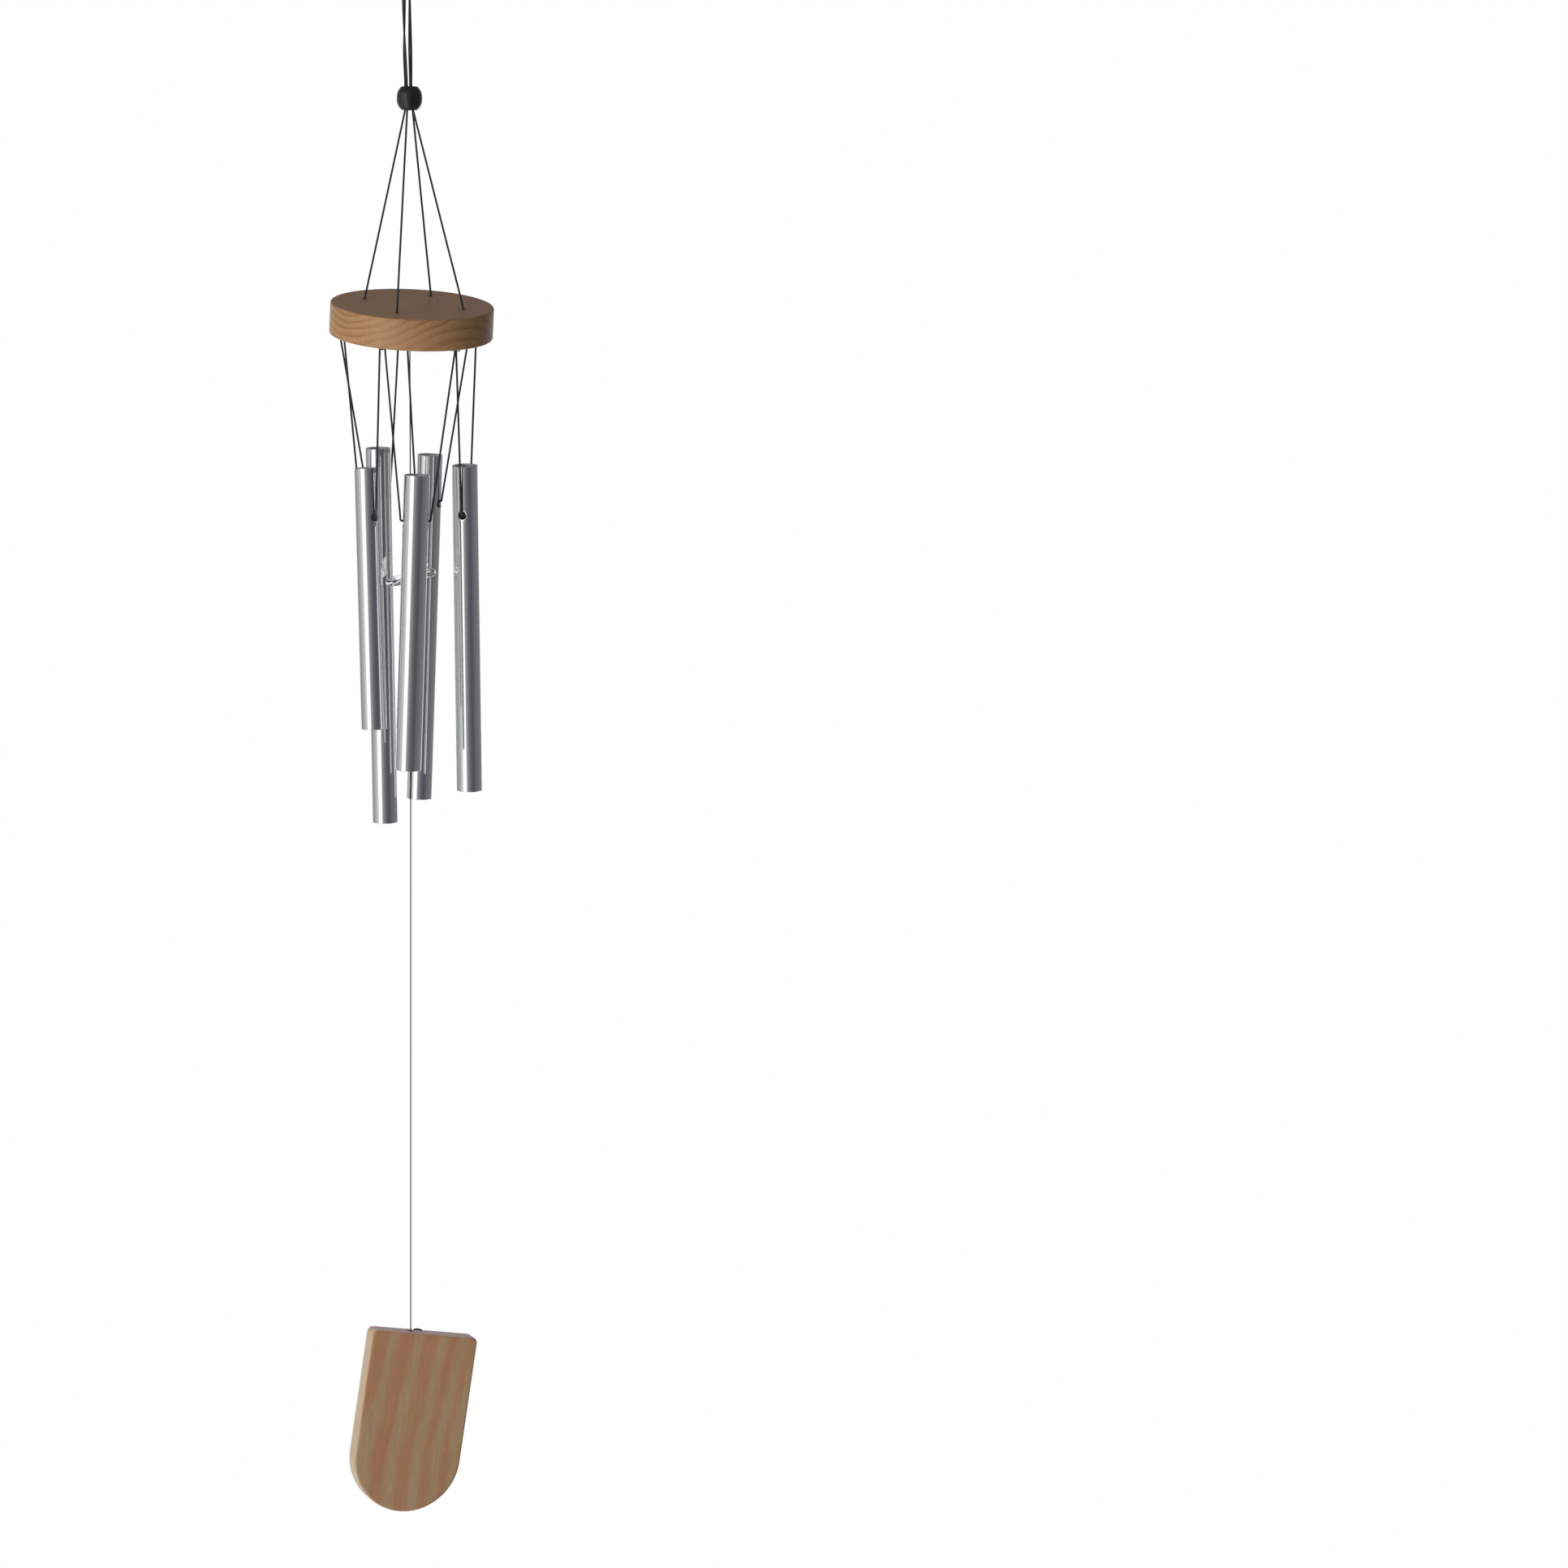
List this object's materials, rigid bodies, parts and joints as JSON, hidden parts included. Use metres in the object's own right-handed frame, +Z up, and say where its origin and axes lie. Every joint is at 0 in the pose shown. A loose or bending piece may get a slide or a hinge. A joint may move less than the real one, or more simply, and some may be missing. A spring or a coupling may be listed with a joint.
{
  "type": "wind chime",
  "caption": "Hanging wind chime: a round wooden disc on gathered cords, metal tubes, a clear striker and a wooden wind sail.",
  "frame": {"origin": "inner top of the hanging ring, where the hook bears", "axes": "+Z up, +X to the right and +Y to the back as the chime is seen from the front; the ring lies in the X-Z plane"},
  "size_m": [0.0805, 0.081, 0.7747],
  "materials": {
    "ring_steel": "bright",
    "staple_wire": "bright",
    "braided_cord": "braided",
    "thin_cord": "braided",
    "dark_bead": "semi-gloss",
    "pine_disc": "satin varnish",
    "pine_sail": "satin varnish",
    "tube_aluminium": "drawn, bright",
    "clear_striker": "clear"
  },
  "bodies": {
    "ring": {"hanging_ring": "ring_steel"},
    "hanger": {"hanger_cord_a": "braided_cord", "hanger_cord_b": "braided_cord"},
    "bead": {"bead": "dark_bead"},
    "canopy": {"disc": "pine_disc", "suspension_cord_1": "braided_cord", "suspension_cord_2": "braided_cord", "suspension_cord_3": "braided_cord", "suspension_cord_4": "braided_cord", "suspension_knot_1": "braided_cord", "suspension_knot_2": "braided_cord", "suspension_knot_3": "braided_cord", "suspension_knot_4": "braided_cord", "tube_staple_1": "staple_wire", "tube_staple_2": "staple_wire", "tube_staple_3": "staple_wire", "tube_staple_4": "staple_wire", "tube_staple_5": "staple_wire", "clapper_staple": "staple_wire"},
    "clapper_top": {"clapper_knot": "thin_cord"},
    "clapper": {"clapper_cord": "thin_cord"},
    "striker": {"striker": "clear_striker"},
    "striker_stop": {"striker_knot": "thin_cord"},
    "sail_line": {"sail_cord": "thin_cord"},
    "sail_swivel": {"sail_knot": "thin_cord"},
    "sail": {"sail": "pine_sail", "sail_cord_tail": "thin_cord"},
    "tube_loop_1": {"tube_cord_1": "braided_cord"},
    "tube_1": {"tube_1": "tube_aluminium"},
    "tube_loop_2": {"tube_cord_2": "braided_cord"},
    "tube_2": {"tube_2": "tube_aluminium"},
    "tube_loop_3": {"tube_cord_3": "braided_cord"},
    "tube_3": {"tube_3": "tube_aluminium"},
    "tube_loop_4": {"tube_cord_4": "braided_cord"},
    "tube_4": {"tube_4": "tube_aluminium"},
    "tube_loop_5": {"tube_cord_5": "braided_cord"},
    "tube_5": {"tube_5": "tube_aluminium"}
  },
  "joints": [
    {"name": "hanger_swing", "type": "hinge", "parent": "ring", "child": "hanger", "pos_m": [0, 0, -0.017], "axis": [1, 0, 0], "range_deg": [-20, 20]},
    {"name": "bead_slide", "type": "slide", "parent": "hanger", "child": "bead", "axis": [0, 0, 1], "range_m": [0, 0.008]},
    {"name": "canopy_swing", "type": "hinge", "parent": "hanger", "child": "canopy", "pos_m": [0.0014, 0, -0.0722], "axis": [0, -1, 0], "range_deg": [-8, 8]},
    {"name": "tube_1_swing", "type": "hinge", "parent": "canopy", "child": "tube_loop_1", "pos_m": [-0.03062, 0.00445, -0.18359], "axis": [0.5052, -0.8541, -0.1238], "range_deg": [-15, 1.5]},
    {"name": "tube_1_rock", "type": "hinge", "parent": "tube_loop_1", "child": "tube_1", "pos_m": [-0.0187, -0.01574, -0.2707], "axis": [0.5085, -0.8595, 0.0523], "range_deg": [-8, 1.5]},
    {"name": "tube_2_swing", "type": "hinge", "parent": "canopy", "child": "tube_loop_2", "pos_m": [-0.03267, 0.00801, -0.18308], "axis": [-0.7592, -0.6491, -0.0478], "range_deg": [-15, 1.5]},
    {"name": "tube_2_rock", "type": "hinge", "parent": "tube_loop_2", "child": "tube_2", "pos_m": [-0.01371, 0.0241, -0.2645], "axis": [-0.7598, -0.6497, -0.0244], "range_deg": [-8, 1.5]},
    {"name": "tube_3_swing", "type": "hinge", "parent": "canopy", "child": "tube_loop_3", "pos_m": [-0.01039, -0.02881, -0.18844], "axis": [-0.9916, -0.1268, 0.0248], "range_deg": [-1.5, 15]},
    {"name": "tube_3_rock", "type": "hinge", "parent": "tube_loop_3", "child": "tube_3", "pos_m": [0.00435, -0.02703, -0.2729], "axis": [-0.9915, -0.1268, 0.0297], "range_deg": [-1.5, 8]},
    {"name": "tube_4_swing", "type": "hinge", "parent": "canopy", "child": "tube_loop_4", "pos_m": [-0.00019, 0.03329, -0.18133], "axis": [0.8492, -0.5191, -0.0972], "range_deg": [-1.5, 15]},
    {"name": "tube_4_rock", "type": "hinge", "parent": "tube_loop_4", "child": "tube_4", "pos_m": [0.01089, 0.02644, -0.2679], "axis": [0.8526, -0.5212, -0.0366], "range_deg": [-1.5, 8]},
    {"name": "tube_5_swing", "type": "hinge", "parent": "canopy", "child": "tube_loop_5", "pos_m": [0.02409, -0.0215, -0.18895], "axis": [-0.2819, -0.9538, -0.104], "range_deg": [-1.5, 15]},
    {"name": "tube_5_rock", "type": "hinge", "parent": "tube_loop_5", "child": "tube_5", "pos_m": [0.02884, -0.0056, -0.2701], "axis": [-0.283, -0.9575, -0.0558], "range_deg": [-1.5, 8]},
    {"name": "clapper_swing_back", "type": "hinge", "parent": "canopy", "child": "clapper_top", "pos_m": [0.00156, 0.00117, -0.18645], "axis": [-1, 0, 0], "range_deg": [-3, 3]},
    {"name": "clapper_swing_side", "type": "hinge", "parent": "clapper_top", "child": "clapper", "pos_m": [0.00156, 0.00117, -0.18645], "axis": [0, -1, 0], "range_deg": [-3, 3]},
    {"name": "striker_rock", "type": "hinge", "parent": "clapper", "child": "striker", "pos_m": [0.002, 0, -0.3034], "axis": [0, 1, 0], "range_deg": [-5, 30]},
    {"name": "sail_line_back", "type": "hinge", "parent": "clapper", "child": "striker_stop", "pos_m": [0.002, 0, -0.30669], "axis": [-1, 0, 0], "range_deg": [-6, 6]},
    {"name": "sail_line_side", "type": "hinge", "parent": "striker_stop", "child": "sail_line", "pos_m": [0.002, 0, -0.30669], "axis": [0, -1, 0], "range_deg": [-6, 6]},
    {"name": "sail_spin", "type": "hinge", "parent": "sail_line", "child": "sail_swivel", "pos_m": [0.002, 0, -0.6815], "axis": [0, 0, 1], "range_deg": [-180, 180]},
    {"name": "sail_tilt", "type": "hinge", "parent": "sail_swivel", "child": "sail", "pos_m": [0.002, 0, -0.6815], "axis": [-0.289, 0.9573, 0], "range_deg": [-15, 15]}
  ]
}
